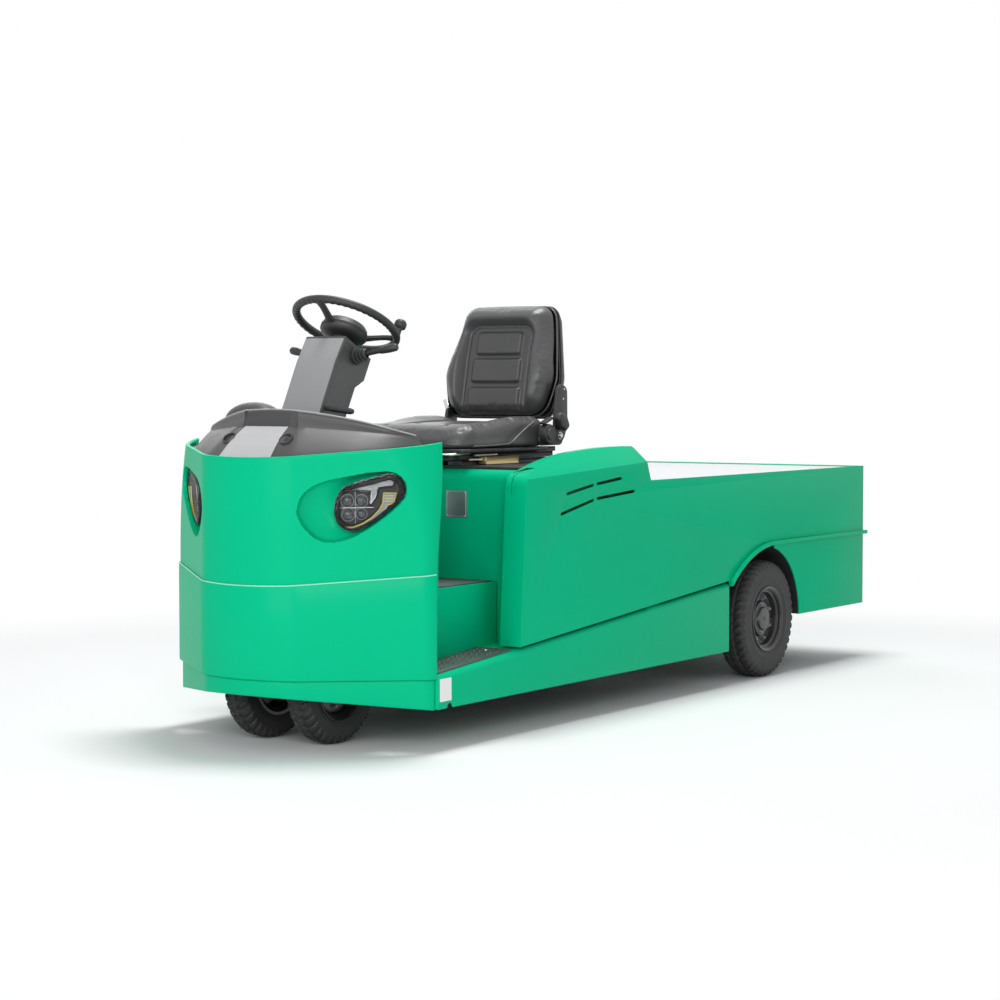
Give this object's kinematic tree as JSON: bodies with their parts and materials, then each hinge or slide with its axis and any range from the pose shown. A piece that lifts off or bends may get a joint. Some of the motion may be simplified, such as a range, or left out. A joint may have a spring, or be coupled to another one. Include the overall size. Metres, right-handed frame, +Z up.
{
  "type": "electric platform tow tractor",
  "caption": "Airport tow tractor with a wraparound green nose, open driver's place, flat rear load deck, steered twin front wheels and a rear tow coupling.",
  "frame": {"origin": "on the ground, under the middle of the overall length and width", "axes": "-Y to the front, +X to the vehicle's left, +Z up"},
  "size_m": [1.008, 3.3, 1.3469],
  "materials": {
    "green_paint": "glossy emerald green paint",
    "frame_paint": "satin black chassis paint",
    "rim_paint": "semi-gloss black wheel paint",
    "deck_paint": "pale silver deck paint, slightly scuffed",
    "dark_plastic": "grained dark grey moulding",
    "black_plastic": "satin black moulding",
    "seat_vinyl": "black vinyl seat cover with fine grain",
    "tyre_rubber": "black tyre rubber",
    "mat_rubber": "dark grey ribbed rubber",
    "step_metal": "dark anti-slip plate",
    "plate_metal": "blank grey metal plate",
    "lamp_glass": "clear lens over a dark reflector",
    "red_lens": "red lamp lens",
    "battery_case": "dark battery case",
    "cast_metal": "dark painted casting"
  },
  "bodies": {
    "chassis": {"chassis_frame": "frame_paint", "battery_block": "battery_case", "drive_motor": "cast_metal", "rear_axle": "cast_metal", "sill_left": "green_paint", "sill_right": "green_paint", "side_panel_left": "green_paint", "side_panel_right": "green_paint", "rear_panel": "green_paint", "deck_plate": "deck_paint", "deck_hatch": "deck_paint", "fender_flare_left": "green_paint", "fender_flare_right": "green_paint", "wheel_liner_left": "frame_paint", "wheel_liner_right": "frame_paint", "seat_box": "green_paint", "hood_plate": "frame_paint", "floor_plate": "green_paint", "floor_mat": "mat_rubber", "step_plate_left": "step_metal", "step_plate_right": "step_metal", "front_cowl": "green_paint", "front_bumper": "green_paint", "front_skirt": "green_paint", "headlamp_left": "lamp_glass", "headlamp_right": "lamp_glass", "kick_panel": "black_plastic", "dash_lower": "dark_plastic", "dash_upper": "dark_plastic", "column_cover": "dark_plastic", "column_tube": "frame_paint", "column_levers": "black_plastic", "pedals": "black_plastic", "seat_rails": "frame_paint", "seat_cushion": "seat_vinyl", "seat_backrest": "seat_vinyl", "seat_shell": "black_plastic", "seat_brackets": "black_plastic", "tow_coupling": "cast_metal", "rear_lamps": "red_lens", "data_plate": "plate_metal"},
    "steer_head": {"steer_head": "cast_metal"},
    "front_wheels": {"front_rims": "rim_paint", "front_tyres": "tyre_rubber"},
    "rear_wheel_left": {"rear_rim_left": "rim_paint", "rear_tyre_left": "tyre_rubber"},
    "rear_wheel_right": {"rear_rim_right": "rim_paint", "rear_tyre_right": "tyre_rubber"},
    "steering_wheel": {"steering_wheel": "black_plastic"}
  },
  "joints": [
    {"name": "steer", "type": "hinge", "parent": "chassis", "child": "steer_head", "pos_m": [0, -1.365, 0.18], "axis": [0, 0, 1], "range_deg": [-75, 75]},
    {"name": "front_wheels_spin", "type": "hinge", "parent": "steer_head", "child": "front_wheels", "pos_m": [0, -1.365, 0.18], "axis": [1, 0, 0], "continuous": true},
    {"name": "rear_left_spin", "type": "hinge", "parent": "chassis", "child": "rear_wheel_left", "pos_m": [0.427, 0.767, 0.2135], "axis": [1, 0, 0], "continuous": true},
    {"name": "rear_right_spin", "type": "hinge", "parent": "chassis", "child": "rear_wheel_right", "pos_m": [-0.427, 0.767, 0.2135], "axis": [1, 0, 0], "continuous": true},
    {"name": "steering_wheel_turn", "type": "hinge", "parent": "chassis", "child": "steering_wheel", "pos_m": [0, -1.17, 1.18], "axis": [0, 0.4695, 0.8829], "range_deg": [-900, 900]}
  ],
  "couplings": [
    {"joint": "steering_wheel_turn", "follows": "steer", "ratio": 12}
  ]
}
